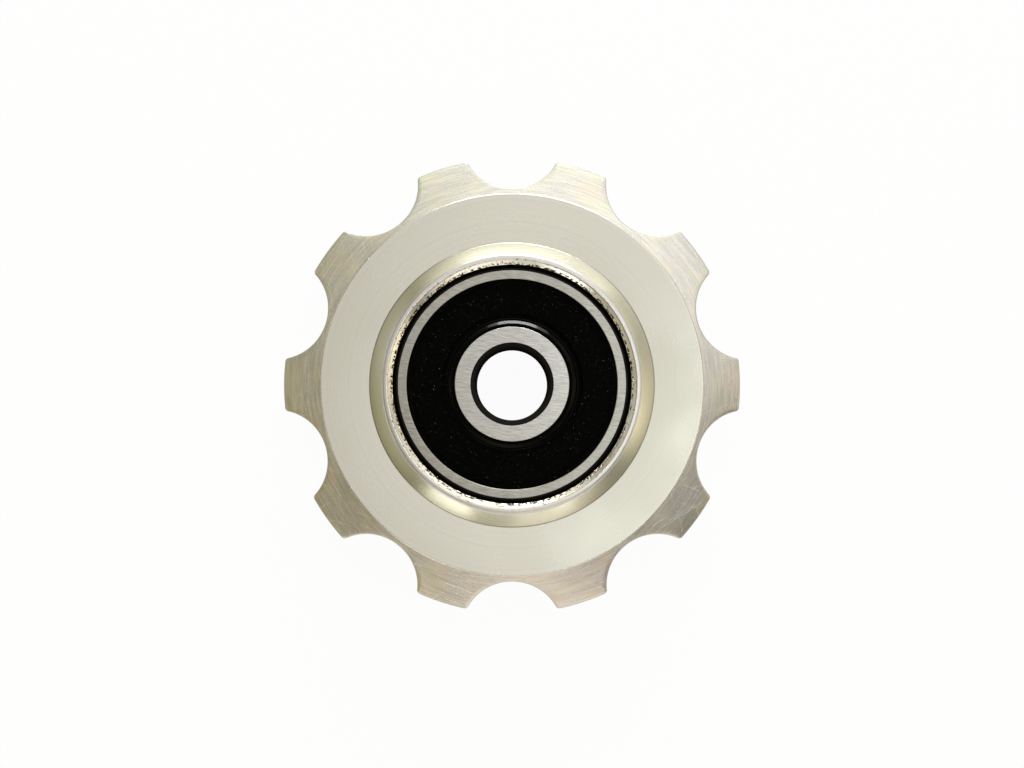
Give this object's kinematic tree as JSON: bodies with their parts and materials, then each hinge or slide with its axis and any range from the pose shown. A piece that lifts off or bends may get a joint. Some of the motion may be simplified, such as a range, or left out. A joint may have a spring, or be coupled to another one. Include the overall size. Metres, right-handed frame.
{
  "type": "derailleur jockey wheel",
  "caption": "Toothed aluminium guide wheel for a bicycle chain, with milled roller seats round a turned disc and a sealed ball bearing pressed into its hub.",
  "frame": {"origin": "middle of the axle bore, half way between the two hub faces", "axes": "+Z along the axle out of the front face, +X through the middle of one tooth"},
  "size_m": [0.038, 0.0372, 0.0066],
  "materials": {
    "wheel_aluminium": "turned and milled, bare",
    "ring_steel": "ground",
    "seal_rubber": "satin black",
    "ball_steel": "polished",
    "cage_steel": "pressed sheet"
  },
  "bodies": {
    "fixed_ring": {"inner_ring": "ring_steel"},
    "wheel": {"toothed_wheel": "wheel_aluminium", "outer_ring": "ring_steel", "front_seal": "seal_rubber", "rear_seal": "seal_rubber"},
    "cage": {"cage_front": "cage_steel", "cage_rear": "cage_steel", "rivet_1": "cage_steel", "rivet_2": "cage_steel", "rivet_3": "cage_steel", "rivet_4": "cage_steel", "rivet_5": "cage_steel", "rivet_6": "cage_steel"},
    "rolling_ball_1": {"ball_1": "ball_steel"},
    "rolling_ball_2": {"ball_2": "ball_steel"},
    "rolling_ball_3": {"ball_3": "ball_steel"},
    "rolling_ball_4": {"ball_4": "ball_steel"},
    "rolling_ball_5": {"ball_5": "ball_steel"},
    "rolling_ball_6": {"ball_6": "ball_steel"}
  },
  "joints": [
    {"name": "wheel_spin", "type": "hinge", "parent": "fixed_ring", "child": "wheel", "pos_m": [0, 0, 0], "axis": [0, 0, 1], "continuous": true},
    {"name": "cage_spin", "type": "hinge", "parent": "fixed_ring", "child": "cage", "pos_m": [0, 0, 0], "axis": [0, 0, 1], "continuous": true},
    {"name": "ball_1_spin", "type": "hinge", "parent": "cage", "child": "rolling_ball_1", "pos_m": [0.00625, 0, 0], "axis": [0, 0, 1], "continuous": true},
    {"name": "ball_2_spin", "type": "hinge", "parent": "cage", "child": "rolling_ball_2", "pos_m": [0.00313, 0.00541, 0], "axis": [0, 0, 1], "continuous": true},
    {"name": "ball_3_spin", "type": "hinge", "parent": "cage", "child": "rolling_ball_3", "pos_m": [-0.00313, 0.00541, 0], "axis": [0, 0, 1], "continuous": true},
    {"name": "ball_4_spin", "type": "hinge", "parent": "cage", "child": "rolling_ball_4", "pos_m": [-0.00625, 0, 0], "axis": [0, 0, 1], "continuous": true},
    {"name": "ball_5_spin", "type": "hinge", "parent": "cage", "child": "rolling_ball_5", "pos_m": [-0.00313, -0.00541, 0], "axis": [0, 0, 1], "continuous": true},
    {"name": "ball_6_spin", "type": "hinge", "parent": "cage", "child": "rolling_ball_6", "pos_m": [0.00313, -0.00541, 0], "axis": [0, 0, 1], "continuous": true}
  ],
  "couplings": [
    {"joint": "cage_spin", "follows": "wheel_spin", "ratio": 0.64},
    {"joint": "ball_1_spin", "follows": "wheel_spin", "ratio": 1.6457},
    {"joint": "ball_2_spin", "follows": "wheel_spin", "ratio": 1.6457},
    {"joint": "ball_3_spin", "follows": "wheel_spin", "ratio": 1.6457},
    {"joint": "ball_4_spin", "follows": "wheel_spin", "ratio": 1.6457},
    {"joint": "ball_5_spin", "follows": "wheel_spin", "ratio": 1.6457},
    {"joint": "ball_6_spin", "follows": "wheel_spin", "ratio": 1.6457}
  ]
}
